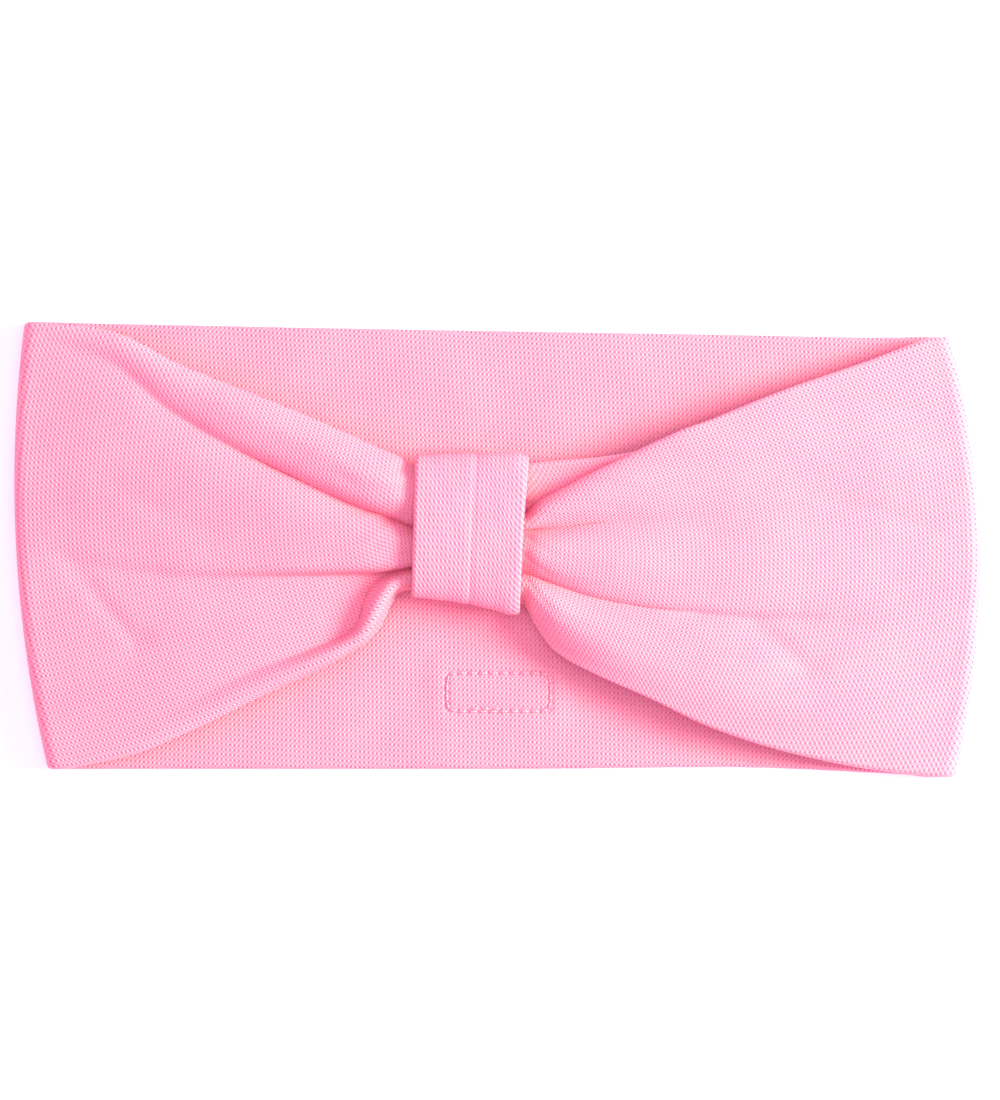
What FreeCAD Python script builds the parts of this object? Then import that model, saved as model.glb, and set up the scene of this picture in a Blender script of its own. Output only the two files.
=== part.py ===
import FreeCAD, Part
import math
import os

# A gathered headband of double knit cloth, lying flat as it comes out of a drawer.
# Millimetres.  +X runs along the band, +Y across it towards the crown edge, +Z up.
# The origin is at the middle of the resting face.
#
# The band is one long strip of two cloth layers.  It starts under the centre loop,
# runs out along the left wing, turns round the left fold, comes back flat as the
# back panel, turns round the right fold and ends under the loop again, where its
# two ends are joined.  Every band piece is built along that same route.

V = FreeCAD.Vector

# ---------------------------------------------------------------- driving sizes
LENGTH = 212.5             # over the two side folds
WIDTH = 100.2              # over the widest pair of corners
CLOTH = 0.8                # one layer of knit
FOLD_GAP = 5.0             # inside the side folds, between front and back

# how far each corner of the flat band stands in from LENGTH and WIDTH
LEFT_CROWN_INSET = 2.3
LEFT_NECK_INSET = 7.4
RIGHT_CROWN_INSET = 6.6
RIGHT_NECK_INSET = 5.5
LEFT_NECK_RISE = 1.8
RIGHT_CROWN_DROP = 3.0

# the gathered middle and the loop round it
BUNDLE_CROWN = 18.7        # Y of the gathered cloth's upper edge
BUNDLE_NECK = -12.4        # Y of its lower edge
BUNDLE_HEIGHT = 11.0       # both gathered layers together
LOOP_LEFT = -19.0
LOOP_RIGHT = 6.5
LOOP_STRIP = 1.6           # the loop's cloth, folded double
LOOP_CORNER = 5.0          # outer corner radius of the loop
LOOP_SLACK = 0.1           # between the loop and what it holds
LOOP_LIFT = 0.3            # under the loop, above the back panel
LOOP_COLLAR = 1.5          # past the loop, where the gathers stay as narrow

# how soon each edge of a wing opens out from the loop: 0 is a straight line
LEFT_CROWN_FLARE = 0.3
LEFT_NECK_FLARE = 0.6
RIGHT_CROWN_FLARE = -0.35
RIGHT_NECK_FLARE = 2.3
FLARE_EASE = 0.12          # share of the wing over which the opening starts and ends

# seams
SEAM_DEPTH = 0.6           # how far an edge seam stands across the band
SEAM_THICKNESS = 1.0       # of an edge seam, through the cloth
SEAM_SLACK = 0.04          # between an edge seam and the edges that it joins
JOINING_SEAM = 0.6         # along the band, where its ends meet
LOOP_SEAM = 0.6            # across the loop, where its ends meet
LOOP_SEAM_Y = 3.0

# the sewn-on label, under the back panel
LABEL_LENGTH = 25.4
LABEL_WIDTH = 11.0
LABEL_THICKNESS = 0.4
LABEL_X = 0.3
LABEL_Y = -31.5
LABEL_SLACK = 0.2          # round the label, in its hollow in the cloth
STITCH_INSET = 1.3         # from the label's edge to its stitching
STITCH_WIDTH = 0.45
STITCH_HEIGHT = 0.3
STITCH_CORNER = 1.2

# rows and columns of the points that a cloth surface passes through
LOOP_ROWS = 5
WING_ROWS = 30
FOLD_ROWS = 10
BAND_COLUMNS = 9
SEAM_COLUMNS = 3

# ---------------------------------------------------------------- worked out
HALF_LENGTH = LENGTH / 2
HALF_WIDTH = WIDTH / 2
FOLD_RADIUS = FOLD_GAP / 2 + CLOTH          # of the face between the layers
BACK_MIDDLE = CLOTH                         # Z between the layers, back panel
FRONT_MIDDLE = BACK_MIDDLE + 2 * FOLD_RADIUS
LOOP_FLOOR = 2 * CLOTH + LOOP_LIFT
BUNDLE_MIDDLE = LOOP_FLOOR + LOOP_STRIP + LOOP_SLACK + BUNDLE_HEIGHT / 2
SEAM_X = (LOOP_LEFT + LOOP_RIGHT) / 2


def rounded_ramp(share, ease):
    """Runs from 0 to 1 as share does, straight but for a round start and end."""
    if share < ease:
        return share * share / (2 * ease * (1 - ease))
    if share > 1 - ease:
        return 1 - (1 - share) ** 2 / (2 * ease * (1 - ease))
    return (share - ease / 2) / (1 - ease)


class Side:
    """One half of the band, from under the loop out and round its side fold."""

    def __init__(self, sign, loop_edge, crown, neck, insets, flares):
        self.sign = sign
        self.loop_edge = loop_edge
        self.crown = crown
        self.neck = neck
        self.crown_inset, self.neck_inset = insets
        self.crown_flare, self.neck_flare = flares

    def fold_x(self, share):
        """X where the fold starts; share runs from 0 at the neck edge to 1.

        The fold bows out: its inset is a parabola through both corners."""
        root_crown = math.sqrt(self.crown_inset)
        root_neck = math.sqrt(self.neck_inset)
        reach = root_neck * (1 - share) - root_crown * share
        return self.sign * (HALF_LENGTH - reach ** 2 - FOLD_RADIUS - CLOTH)

    def edges(self, out):
        """Y of the neck and crown edges; out is 0 at the loop and 1 at the fold."""
        ramp = rounded_ramp(out, FLARE_EASE)

        def opened(start, end, flare):
            return start + (end - start) * (1 + flare) * ramp / (1 + flare * ramp)

        return (
            opened(BUNDLE_NECK, self.neck, self.neck_flare),
            opened(BUNDLE_CROWN, self.crown, self.crown_flare),
        )

    def gathered(self, out):
        """One gathered layer's thickness: more, the narrower its cloth is drawn."""
        neck, crown = self.edges(out)
        narrowed = (self.crown - self.neck) / (crown - neck)
        most = (self.crown - self.neck) / (BUNDLE_CROWN - BUNDLE_NECK)
        power = math.log(BUNDLE_HEIGHT / 2 / CLOTH) / math.log(most)
        return CLOTH * narrowed ** power


LEFT = Side(
    -1, LOOP_LEFT, HALF_WIDTH, LEFT_NECK_RISE - HALF_WIDTH,
    (LEFT_CROWN_INSET, LEFT_NECK_INSET), (LEFT_CROWN_FLARE, LEFT_NECK_FLARE),
)
RIGHT = Side(
    1, LOOP_RIGHT, HALF_WIDTH - RIGHT_CROWN_DROP, -HALF_WIDTH,
    (RIGHT_CROWN_INSET, RIGHT_NECK_INSET), (RIGHT_CROWN_FLARE, RIGHT_NECK_FLARE),
)


def route(side):
    """The stations of one half: (out, place of the middle, outward direction)."""
    stations = []
    seam_edge = SEAM_X + side.sign * JOINING_SEAM / 2
    wing_start = side.loop_edge + side.sign * LOOP_COLLAR
    for row in range(LOOP_ROWS):
        x = seam_edge + (wing_start - seam_edge) * row / LOOP_ROWS
        stations.append((0.0, lambda share, x=x: (x, BUNDLE_MIDDLE), (0.0, 1.0)))
    for row in range(WING_ROWS):
        out = row / WING_ROWS
        eased = out * out * (3 - 2 * out)
        z = BUNDLE_MIDDLE + (FRONT_MIDDLE - BUNDLE_MIDDLE) * eased

        def on_wing(share, out=out, z=z):
            return wing_start + (side.fold_x(share) - wing_start) * out, z

        stations.append((out, on_wing, (0.0, 1.0)))
    for row in range(FOLD_ROWS + 1):
        turn = math.pi * (0.5 - row / FOLD_ROWS)
        outward = (side.sign * math.cos(turn), math.sin(turn))

        def on_fold(share, outward=outward):
            return (
                side.fold_x(share) + FOLD_RADIUS * outward[0],
                BACK_MIDDLE + FOLD_RADIUS * (1 + outward[1]),
            )

        stations.append((1.0, on_fold, outward))
    return stations


def surface(side, columns, height):
    """A smooth face along one half of the band.

    columns(neck, crown) gives the Ys of a row, and height(side, out, share) how
    far the face stands off the middle of the cloth."""
    rows = []
    for out, place, outward in route(side):
        neck, crown = side.edges(out)
        row = []
        for y in columns(neck, crown):
            share = (y - neck) / (crown - neck)
            x, z = place(share)
            off = height(side, out, share)
            row.append(V(x + off * outward[0], y, z + off * outward[1]))
        rows.append(row)
    face = Part.BSplineSurface()
    face.interpolate(rows)
    return face


def ruled_face(rails):
    """A face of straight lines from one edge to the other."""
    wires = [Part.Wire([rail]) for rail in rails]
    return Part.makeLoft(wires, False, True).Faces[0]


def flat_face(corners):
    return Part.Face(Part.makePolygon(corners + corners[:1]))


def band_solid(columns, inner_height, outer_height):
    """A closed solid along the whole band, between two heights off its middle."""
    faces = []
    ends = {}
    for side in (LEFT, RIGHT):
        skins = [surface(side, columns, h) for h in (inner_height, outer_height)]
        faces += [skin.toShape() for skin in skins]
        bounds = [skin.bounds() for skin in skins]
        for which in (0, 1):
            rails = [skin.uIso(b[which]).toShape() for skin, b in zip(skins, bounds)]
            if which == 0:
                faces.append(ruled_face(rails))
            ends[side, which] = rails
        for which in (2, 3):
            rails = [skin.vIso(b[which]).toShape() for skin, b in zip(skins, bounds)]
            faces.append(ruled_face(rails))
    for level in (0, 1):
        left = ends[LEFT, 1][level]
        right = ends[RIGHT, 1][level]
        neck = Part.makeLine(left.Vertexes[0].Point, right.Vertexes[0].Point)
        crown = Part.makeLine(left.Vertexes[-1].Point, right.Vertexes[-1].Point)
        faces.append(Part.Face(Part.Wire([neck, right, crown, left])))
    for end in (0, -1):
        lower, upper = [
            [ends[side, 1][level].Vertexes[end].Point for side in (LEFT, RIGHT)]
            for level in (0, 1)
        ]
        faces.append(flat_face([lower[0], lower[1], upper[1], upper[0]]))
    shell = Part.makeShell(faces)
    shell.sewShape()
    solid = Part.makeSolid(shell.Shells[0])
    if solid.Volume < 0:
        solid.reverse()
    return solid


def spread(low, high, count):
    return [low + (high - low) * k / (count - 1) for k in range(count)]


def between_seams(neck, crown):
    return spread(neck + SEAM_DEPTH, crown - SEAM_DEPTH, BAND_COLUMNS)


def along_neck(neck, crown):
    return spread(neck, neck + SEAM_DEPTH - SEAM_SLACK, SEAM_COLUMNS)


def along_crown(neck, crown):
    return spread(crown - SEAM_DEPTH + SEAM_SLACK, crown, SEAM_COLUMNS)


def layer_height(side, out, share):
    """One layer's thickness: full over the middle, one cloth thick at the edges."""
    middle = 1 - (2 * share - 1) ** 8
    return CLOTH + (side.gathered(out) - CLOTH) * middle


def level(height):
    return lambda side, out, share: height


def block(x, y, z, centre_x, centre_y, floor):
    """A box, by its sizes and the middle of its lower face."""
    corner = V(centre_x - x / 2, centre_y - y / 2, floor)
    return Part.makeBox(x, y, z, corner)


def rounded_face(width, height, radius, place):
    """A flat rounded rectangle about the origin; place puts each (u, v) in space."""
    right, top = width / 2, height / 2
    diagonal = radius * (1 - math.sqrt(0.5))
    edges = []
    corners = [(1, 1), (-1, 1), (-1, -1), (1, -1)]
    for turn, (h, v) in enumerate(corners):
        from_side = (h * right, v * (top - radius))
        from_top = (h * (right - radius), v * top)
        middle = (h * (right - diagonal), v * (top - diagonal))
        first, last = (from_side, from_top) if turn % 2 == 0 else (from_top, from_side)
        points = [V(*place(*p)) for p in (first, middle, last)]
        edges.append(Part.Arc(*points).toShape())
    joined = []
    for edge, following in zip(edges, edges[1:] + edges[:1]):
        joined.append(edge)
        joined.append(Part.makeLine(edge.lastVertex().Point, following.firstVertex().Point))
    return Part.Face(Part.Wire(joined))


def outer_layer():
    cloth = band_solid(between_seams, level(0.0), layer_height)
    hollow = block(
        LABEL_LENGTH + 2 * LABEL_SLACK, LABEL_WIDTH + 2 * LABEL_SLACK, LABEL_THICKNESS,
        LABEL_X, LABEL_Y, 0,
    )
    return cloth.cut(hollow)


def inner_layer():
    def inwards(side, out, share):
        return -layer_height(side, out, share)

    return band_solid(between_seams, inwards, level(0.0))


def edge_seam(columns):
    """The line of stitching that closes one long edge of the band."""
    return band_solid(columns, level(-SEAM_THICKNESS / 2), level(SEAM_THICKNESS / 2))


def band_joining_seam():
    """The stitching between the two ends of the band, hidden in the loop."""
    columns = spread(BUNDLE_NECK, BUNDLE_CROWN, 2 * BAND_COLUMNS + 1)
    above = []
    for y in columns:
        share = (y - BUNDLE_NECK) / (BUNDLE_CROWN - BUNDLE_NECK)
        above.append((y, layer_height(LEFT, 0.0, share)))
    start = SEAM_X - JOINING_SEAM / 2
    upper, lower = Part.BSplineCurve(), Part.BSplineCurve()
    upper.interpolate([V(start, y, BUNDLE_MIDDLE + h) for y, h in above])
    lower.interpolate([V(start, y, BUNDLE_MIDDLE - h) for y, h in above])
    curves = [upper.toShape(), lower.toShape()]
    ends = [
        Part.makeLine(curves[0].Vertexes[k].Point, curves[1].Vertexes[k].Point)
        for k in (0, -1)
    ]
    section = Part.Face(Part.Wire([curves[0], ends[1], curves[1], ends[0]]))
    return section.extrude(V(JOINING_SEAM, 0, 0))


def centre_loop():
    """The folded strip round the gathers; its two ends meet underneath."""
    hole_width = BUNDLE_CROWN - BUNDLE_NECK + 2 * LOOP_SLACK
    hole_height = BUNDLE_HEIGHT + 2 * LOOP_SLACK
    centre_y = (BUNDLE_CROWN + BUNDLE_NECK) / 2

    def place(u, v):
        return LOOP_LEFT, centre_y + u, BUNDLE_MIDDLE + v

    hole = rounded_face(hole_width, hole_height, LOOP_CORNER - LOOP_STRIP, place)
    outline = rounded_face(
        hole_width + 2 * LOOP_STRIP, hole_height + 2 * LOOP_STRIP, LOOP_CORNER, place
    )
    length = V(LOOP_RIGHT - LOOP_LEFT, 0, 0)
    ring = outline.extrude(length).cut(hole.extrude(length))
    return ring.cut(loop_closing_seam())


def loop_closing_seam():
    length = LOOP_RIGHT - LOOP_LEFT
    return block(length, LOOP_SEAM, LOOP_STRIP, SEAM_X, LOOP_SEAM_Y, LOOP_FLOOR)


def back_label():
    return block(LABEL_LENGTH, LABEL_WIDTH, LABEL_THICKNESS, LABEL_X, LABEL_Y, 0)


def label_stitching():
    """The label's line of stitching where it stands on the band's inner face."""
    length = LABEL_LENGTH - 2 * STITCH_INSET
    width = LABEL_WIDTH - 2 * STITCH_INSET

    def place(u, v):
        return LABEL_X + u, LABEL_Y + v, 2 * CLOTH

    around = rounded_face(
        length + STITCH_WIDTH, width + STITCH_WIDTH, STITCH_CORNER + STITCH_WIDTH / 2, place
    )
    within = rounded_face(
        length - STITCH_WIDTH, width - STITCH_WIDTH, STITCH_CORNER - STITCH_WIDTH / 2, place
    )
    up = V(0, 0, STITCH_HEIGHT)
    return around.extrude(up).cut(within.extrude(up))


PIECES = {
    "outer_layer": outer_layer,
    "inner_layer": inner_layer,
    "crown_edge_seam": lambda: edge_seam(along_crown),
    "neck_edge_seam": lambda: edge_seam(along_neck),
    "band_joining_seam": band_joining_seam,
    "centre_loop": centre_loop,
    "loop_closing_seam": loop_closing_seam,
    "back_label": back_label,
    "label_stitching": label_stitching,
}

os.makedirs("parts", exist_ok=True)
for name, build in PIECES.items():
    shape = build()
    if not shape.isValid() or len(shape.Solids) != 1:
        raise ValueError(name + " is not one sound solid")
    shape.Solids[0].exportStep("parts/" + name + ".step")
    print(name, round(shape.Volume, 1), "mm3")
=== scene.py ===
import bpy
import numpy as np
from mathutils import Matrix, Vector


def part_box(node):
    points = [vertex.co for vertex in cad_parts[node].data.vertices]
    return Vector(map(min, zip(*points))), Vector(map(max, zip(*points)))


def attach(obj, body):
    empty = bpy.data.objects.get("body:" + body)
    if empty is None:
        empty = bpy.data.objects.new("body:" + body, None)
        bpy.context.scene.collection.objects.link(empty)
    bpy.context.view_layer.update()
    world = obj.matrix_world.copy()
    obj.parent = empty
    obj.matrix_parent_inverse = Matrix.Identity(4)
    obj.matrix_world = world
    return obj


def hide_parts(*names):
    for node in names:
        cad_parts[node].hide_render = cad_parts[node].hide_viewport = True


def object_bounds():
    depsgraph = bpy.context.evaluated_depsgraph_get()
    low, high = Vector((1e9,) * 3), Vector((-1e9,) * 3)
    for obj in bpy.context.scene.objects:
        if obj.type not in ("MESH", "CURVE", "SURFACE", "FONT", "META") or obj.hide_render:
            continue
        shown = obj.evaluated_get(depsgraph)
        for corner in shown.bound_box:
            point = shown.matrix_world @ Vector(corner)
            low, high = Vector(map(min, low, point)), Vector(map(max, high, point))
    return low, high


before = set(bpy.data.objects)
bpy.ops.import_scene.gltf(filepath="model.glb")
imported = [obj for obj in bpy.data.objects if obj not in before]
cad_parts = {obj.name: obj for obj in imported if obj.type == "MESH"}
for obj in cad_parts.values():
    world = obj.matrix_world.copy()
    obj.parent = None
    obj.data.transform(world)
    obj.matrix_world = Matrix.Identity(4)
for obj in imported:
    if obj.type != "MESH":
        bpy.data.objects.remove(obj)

# %% [markdown]
# A gathered headband, made in cells.
#
# The real thing is one long strip of double knit cloth, sewn into a ring and drawn
# together at the front by a narrow loop of the same cloth.  It lies flat here, so
# we look down on the inside of the back panel, with the gathered front across it.
# The plain CAD solids fix its size and place.  Each soft one is replaced below by
# cloth worked out with numpy, on a grid that follows the real cloth: one direction
# runs along the band and the other across it.

MM = 0.001
cad_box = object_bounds()
loop_low, loop_high = (np.array(corner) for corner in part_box("centre_loop"))
print("CAD box in mm:", [[round(c / MM, 1) for c in corner] for corner in cad_box])

# %% [markdown]
# The camera looks straight down from far above, as for a catalogue picture of
# something laid on a table.  An orthographic camera keeps the band's true outline
# in every part of the picture.

# %% The camera
VIEW_HEIGHT = 0.242
CAMERA_RISE = 0.8
CAMERA_SHIFT = (0.6 * MM, -0.2 * MM)
camera_data = bpy.data.cameras.new("overhead_camera")
camera_data.type = "ORTHO"
camera_data.ortho_scale = VIEW_HEIGHT
camera = bpy.data.objects.new("overhead_camera", camera_data)
middle = (np.array(cad_box[0]) + np.array(cad_box[1])) / 2
camera.location = (
    middle[0] + CAMERA_SHIFT[0], middle[1] + CAMERA_SHIFT[1], CAMERA_RISE
)
bpy.context.scene.collection.objects.link(camera)
bpy.context.scene.camera = camera
print("camera over", [round(c / MM, 1) for c in camera.location])

# %% [markdown]
# Light makes folds readable.  One soft box stands on the right, so every fold is
# bright on its right flank and the wings throw soft shadows on the back panel.  It
# is a little yellow, against the violet glow of the room, so that lit and shaded
# cloth keep one pink.  A second box above fills the rest.  The table top is a light
# table: pale, and lit a little from within, so the cloth seems to float.

# %% The table and the soft boxes
TABLE_SIZE = 3.0
TABLE_DROP = 0.05 * MM
KEY_COLOUR = (1.0, 1.0, 0.74)


def soft_box(name, place, size, watts, colour=(1.0, 1.0, 1.0)):
    """A square lamp at place, turned to face the middle of the band."""
    data = bpy.data.lights.new(name, "AREA")
    data.shape = "SQUARE"
    data.size = size
    data.energy = watts
    data.color = colour
    lamp = bpy.data.objects.new(name, data)
    lamp.location = place
    lamp.rotation_euler = Vector(place).to_track_quat("Z", "Y").to_euler()
    bpy.context.scene.collection.objects.link(lamp)
    return lamp


lamps = [
    soft_box("key_box", (0.88, 0.10, 0.58), 0.42, 17.5, KEY_COLOUR),
    soft_box("top_box", (0.0, 0.1, 1.6), 1.0, 6.5),
]
bpy.context.scene.view_settings.view_transform = "Standard"

table_mesh = bpy.data.meshes.new("table_top")
half = TABLE_SIZE / 2
table_level = cad_box[0][2] - TABLE_DROP
table_mesh.from_pydata(
    [(-half, -half, table_level), (half, -half, table_level),
     (half, half, table_level), (-half, half, table_level)],
    [], [(0, 1, 2, 3)],
)
table = bpy.data.objects.new("table_top", table_mesh)
bpy.context.scene.collection.objects.link(table)
print("lamps:", [lamp.name for lamp in lamps], "over a table", TABLE_SIZE, "m wide")

# %% [markdown]
# Materials are small networks of nodes.  Colours are written the way a paint chart
# gives them, as sRGB hex, and turned to the linear numbers that shaders use.

# %% Colour and node helpers


def linear(hex_colour):
    """sRGB hex to linear RGBA: the toe below 0.04045 is a line, the rest a 2.4 power."""
    srgb = np.array([int(hex_colour[k:k + 2], 16) / 255 for k in (1, 3, 5)])
    line = srgb / 12.92
    curve = ((srgb + 0.055) / 1.055) ** 2.4
    return (*np.where(srgb <= 0.04045, line, curve), 1.0)


def node(tree, kind, settings=None, *inputs, **sockets):
    """Adds a node: settings are its properties, inputs go to its sockets in order and
    sockets by name.  Each is a plain value, a node (its first output) or an output."""
    added = tree.nodes.new("ShaderNode" + kind)
    for key, value in (settings or {}).items():
        setattr(added, key, value)
    named = {key.replace("_", " "): value for key, value in sockets.items()}
    for key, value in (*enumerate(inputs), *named.items()):
        if isinstance(value, bpy.types.Node):
            value = value.outputs[0]
        if isinstance(value, bpy.types.NodeSocket):
            tree.links.new(value, added.inputs[key])
        elif value is not None:
            added.inputs[key].default_value = value
    return added


def blank_material(name):
    """A material with nodes, and nothing in its tree yet."""
    material = bpy.data.materials.new(name)
    material.use_nodes = True
    material.node_tree.nodes.clear()
    return material, material.node_tree


ADD, SUBTRACT, MULTIPLY, DIVIDE, SINE, COSINE = (
    {"operation": step}
    for step in ("ADD", "SUBTRACT", "MULTIPLY", "DIVIDE", "SINE", "COSINE")
)
PLANE_NOISE = {"noise_dimensions": "2D"}
WHITE = (1.0, 1.0, 1.0, 1.0)

# %% [markdown]
# The room lights the cloth with a pink and violet glow, so shadows keep their colour,
# but what the eye sees behind the table is plain white.  Light Path tells the two
# apart.

# %% The world
ROOM_GLOW = 0.60
ROOM_COLOUR = (1.30, 0.78, 1.24, 1.0)
world = bpy.data.worlds.new("pale_room")
bpy.context.scene.world = world
world.use_nodes = True
tree = world.node_tree
tree.nodes.clear()
glow = node(tree, "Background", None, ROOM_COLOUR, ROOM_GLOW)
plain = node(tree, "Background", None, WHITE, 1.0)
seen = node(tree, "LightPath").outputs["Is Camera Ray"]
room = node(tree, "MixShader", None, seen, glow, plain)
node(tree, "OutputWorld", None, room)
print("room glow:", ROOM_GLOW)

# %% [markdown]
# The table is satin white acrylic over a lamp.

# %% Table material
TABLE_GLOW = 0.35
table_material, tree = blank_material("satin_acrylic_light_table")
surface = node(
    tree, "BsdfPrincipled", None,
    Base_Color=linear("#F4F4F4"), Roughness=0.8,
    Emission_Color=WHITE, Emission_Strength=TABLE_GLOW,
)
node(tree, "OutputMaterial", None, surface)
table_mesh.materials.append(table_material)
print("table material:", table_material.name)

# %% [markdown]
# The cloth is interlock, a smooth double knit of cotton.  Its stitches stand in
# upright columns (wales) 0.95 mm apart and rows (courses) 1.14 mm apart.  From a
# little way off, every row shows a pale oval of yarn beside a small dark pit, and
# between the rows both fade.  That is what two cosines give: one across the wales,
# whose strength follows another up the courses.  The colour paints that light and
# shade: the dark pit colour is painted shade in the gaps between stitches, and the
# pale yarn colour is partly a painted highlight on the loops.  The rows also run a
# few degrees off square, as a tubular knit always does.  The three noises have their
# scale in waves per metre: the drift of the rows (7 mm), fibres (0.4 mm) and blotches
# of dye (14 mm).

# %% Knit cloth material
WALE = 0.95 * MM
COURSE = 1.14 * MM
STRETCHED_COURSE = 1.42 * MM
COLUMN_SHARE = 0.35
SLANT_SHARE = 0.4
BLOTCH_SHARE = 0.4
DRIFT_SCALE = 150.0
FIBRE_SCALE = 2600.0
BLOTCH_SCALE = 70.0
ROW_TILT = 0.09
STITCH_RELIEF = 0.14 * MM


def knit_material(name, yarn, painted_pit_shade, course, lean, relief_depth):
    """Stitch = COLUMN_SHARE cos(w) + SLANT_SHARE (1 + lean) cos(w - c)
    + SLANT_SHARE (1 - lean) cos(w + c), where w and c are the angles of wale and
    course, one whole turn to each; lean slants the ovals."""
    material, tree = blank_material(name)
    cloth = node(tree, "UVMap", {"uv_map": "cloth"})
    drift = node(tree, "TexNoise", PLANE_NOISE, Vector=cloth, Scale=DRIFT_SCALE, Detail=2.0)
    wander = node(tree, "MapRange", None, drift, To_Min=-1.0, To_Max=1.0)
    place = node(tree, "SeparateXYZ", None, cloth)
    wales = node(tree, "Math", MULTIPLY, place.outputs[0], 2 * np.pi / WALE)
    wales = node(tree, "Math", ADD, wales, wander)
    tilt = node(tree, "Math", MULTIPLY, place.outputs[0], 2 * np.pi * ROW_TILT / course)
    courses = node(tree, "Math", MULTIPLY, place.outputs[1], 2 * np.pi / course)
    courses = node(tree, "Math", ADD, courses, tilt)
    courses = node(tree, "Math", ADD, courses, wander)
    falling = node(tree, "Math", SUBTRACT, wales, courses)
    rising = node(tree, "Math", ADD, wales, courses)
    column = node(tree, "Math", COSINE, wales)
    column = node(tree, "Math", MULTIPLY, column, COLUMN_SHARE)
    falling = node(tree, "Math", COSINE, falling)
    falling = node(tree, "Math", MULTIPLY, falling, SLANT_SHARE * (1 + lean))
    rising = node(tree, "Math", COSINE, rising)
    rising = node(tree, "Math", MULTIPLY, rising, SLANT_SHARE * (1 - lean))
    stitch = node(tree, "Math", ADD, falling, rising)
    stitch = node(tree, "Math", ADD, stitch, column)
    fibres = node(
        tree, "TexNoise", PLANE_NOISE,
        Vector=cloth, Scale=FIBRE_SCALE, Detail=3.0, Roughness=0.7,
    )
    height = node(tree, "Math", ADD, stitch, fibres)
    blotch = node(
        tree, "TexNoise", PLANE_NOISE, Vector=cloth, Scale=BLOTCH_SCALE, Detail=3.0
    )
    blotch = node(tree, "Math", MULTIPLY, blotch, BLOTCH_SHARE)
    tone = node(tree, "Math", ADD, height, blotch)
    tone = node(tree, "MapRange", None, tone, From_Min=-0.65, From_Max=1.95)
    # Painted shade and highlight: low parts of the stitch wave take the dark pit colour, as
    # shade in the gaps between stitches, and high parts the pale yarn colour, partly a painted
    # highlight.
    colour_with_painted_light = node(tree, "MixRGB", None, tone, linear(painted_pit_shade), linear(yarn))
    relief = node(tree, "Bump", None, Height=height, Strength=0.6, Distance=relief_depth)
    surface = node(
        tree, "BsdfPrincipled", None,
        Base_Color=colour_with_painted_light, Roughness=0.9, Normal=relief, Specular_IOR_Level=0.2,
        Sheen_Weight=0.12, Sheen_Roughness=0.5, Sheen_Tint=linear("#FFC4D4"),
    )
    node(tree, "OutputMaterial", None, surface)
    return material


# The second colour of each knit is painted shade for the gaps between stitches.
band_knit = knit_material(
    "cotton_interlock_knit", "#FECED3", "#FC5A92", COURSE, 0.15, STITCH_RELIEF
)
loop_knit = knit_material(
    "stretched_interlock_knit", "#FEC7CF", "#FC72A0", STRETCHED_COURSE, 0.5,
    STITCH_RELIEF,
)
print("knit materials:", band_knit.name, loop_knit.name)

# %% [markdown]
# Every sheet below is a grid of points with a thickness, so one function turns
# such a grid into a closed mesh: the upper face, the lower face and a rim of quads.
# The grid's two directions go into a UV map called "cloth", in metres of real
# cloth, for the knit to follow.  Points are worked out in millimetres and become
# metres only here.

# %% Grid and mesh helpers


def unit(vectors):
    """Each vector divided by its own length."""
    return vectors / np.maximum(np.linalg.norm(vectors, axis=-1, keepdims=True), 1e-12)


def grid_normals(points):
    """Cross product of the grid's two central differences, made one long."""
    down_rows = np.gradient(points, axis=0)
    over_columns = np.gradient(points, axis=1)
    return unit(np.cross(down_rows, over_columns))


def quads_of(numbers):
    """The corner numbers of the squares between neighbouring rows and columns."""
    corners = (numbers[:-1, :-1], numbers[1:, :-1], numbers[1:, 1:], numbers[:-1, 1:])
    return np.stack(corners, axis=-1).reshape(-1, 4)


def rim_of(numbers):
    """The grid's border, once round, in the order that keeps its face on the left."""
    return np.concatenate(
        [numbers[:-1, 0], numbers[-1, :-1], numbers[:0:-1, -1], numbers[0, :0:-1]]
    )


def put_in_mesh(name, points, quads, cloth, material):
    """A smooth mesh object from arrays, with its cloth coordinates and its finish."""
    mesh = bpy.data.meshes.new(name)
    mesh.from_pydata((points * MM).tolist(), [], quads.tolist())
    corner_points = np.empty(len(mesh.loops), dtype=np.int32)
    mesh.loops.foreach_get("vertex_index", corner_points)
    layer = mesh.uv_layers.new(name="cloth")
    layer.uv.foreach_set("vector", (cloth * MM)[corner_points].astype(np.float32).ravel())
    mesh.polygons.foreach_set("use_smooth", np.ones(len(quads), dtype=bool))
    mesh.materials.append(material)
    piece = bpy.data.objects.new(name, mesh)
    bpy.context.scene.collection.objects.link(piece)
    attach(piece, "root")
    print(name, len(points), "points,", 2 * len(quads), "triangles")
    return piece


def sheet_between(name, under, over, cloth, material):
    """A closed sheet: grid `over` is its face, `under` its back, a rim joins them."""
    numbers = np.arange(under[..., 0].size).reshape(under.shape[:2])
    above = numbers + numbers.size
    rim, rim_above = rim_of(numbers), rim_of(above)
    wall = np.stack(
        [rim, np.roll(rim, -1), np.roll(rim_above, -1), rim_above], axis=-1
    )
    quads = np.concatenate([quads_of(above), quads_of(numbers)[:, ::-1], wall])
    points = np.concatenate([under.reshape(-1, 3), over.reshape(-1, 3)])
    doubled = np.concatenate([cloth.reshape(-1, 2)] * 2)
    return put_in_mesh(name, points, quads, doubled, material)


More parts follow.
